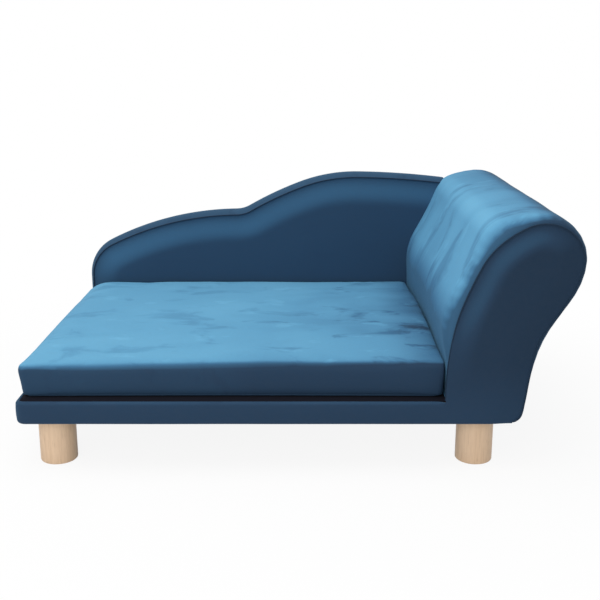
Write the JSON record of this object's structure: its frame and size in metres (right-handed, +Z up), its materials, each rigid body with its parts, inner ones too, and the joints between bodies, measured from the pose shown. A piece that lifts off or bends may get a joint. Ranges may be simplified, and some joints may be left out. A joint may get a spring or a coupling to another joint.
{
  "type": "dog sofa bed",
  "caption": "Velvet dog sofa bed with a wave-topped back, one rolled arm, a loose box cushion on a thin base and round wooden legs.",
  "frame": {"origin": "on the floor, under the middle of the sofa's outline in plan", "axes": "+Z up, +X towards the rolled arm, -Y towards the front where the dog climbs on"},
  "size_m": [0.742, 0.5, 0.3443],
  "materials": {
    "velvet": "teal blue short-pile velvet",
    "piping_velvet": "velvet-covered cord, darker in its seam",
    "foam": "open-cell upholstery foam, soft and matt",
    "wadding": "polyester wadding, soft and matt",
    "leg_wood": "clear satin varnish",
    "plywood": "bare poplar plywood",
    "pine": "bare planed pine",
    "skin_board": "bare thin bending board",
    "deck_cloth": "black spun-bonded cloth",
    "dust_cloth": "black spun-bonded cloth",
    "zinc_steel": "zinc plated",
    "zip_tape": "woven zip tape",
    "zip_coil": "nylon coil",
    "zip_slider": "enamelled die-cast zinc"
  },
  "bodies": {
    "carcass": {"base_rail_front": "pine", "base_rail_rear": "pine", "base_rail_left": "pine", "base_rail_right": "pine", "base_rail_middle": "pine", "base_rail_arm": "pine", "leg_block_front_left": "pine", "leg_block_front_right": "pine", "leg_block_rear_left": "pine", "leg_block_rear_right": "pine", "leg_front_left": "leg_wood", "leg_front_right": "leg_wood", "leg_rear_left": "leg_wood", "leg_rear_right": "leg_wood", "tee_nuts": "zinc_steel", "hanger_bolts": "zinc_steel", "frame_bolts": "zinc_steel", "seat_deck": "plywood", "base_padding": "foam", "arm_former_front": "plywood", "arm_former_rear": "plywood", "arm_skin_board": "skin_board", "arm_foot_rail": "pine", "arm_batten_top": "pine", "arm_batten_roll": "pine", "arm_front_pad": "foam", "arm_rear_pad": "foam", "arm_foam": "foam", "arm_cover": "velvet", "arm_rear_cover": "velvet", "base_cover": "velvet", "arm_piping_front": "piping_velvet", "arm_piping_rear": "piping_velvet", "deck_cloth": "deck_cloth", "dust_cloth": "dust_cloth", "back_board": "plywood", "back_rail": "pine", "back_post_left": "pine", "back_post_right": "pine", "back_foam_edge": "foam", "back_foam_front": "foam", "back_wadding": "wadding", "back_piping": "piping_velvet", "back_cover": "velvet"},
    "cushion": {"cushion_foam": "foam", "cushion_cover": "velvet", "zip_tape": "zip_tape", "zip_coil": "zip_coil"},
    "slider": {"zip_slider": "zip_slider"}
  },
  "joints": [
    {"name": "cushion_pull", "type": "slide", "parent": "carcass", "child": "cushion", "axis": [0, -1, 0], "range_m": [0, 0.46]},
    {"name": "zip_slide", "type": "slide", "parent": "cushion", "child": "slider", "axis": [1, 0, 0], "range_m": [0, 0.432]}
  ]
}
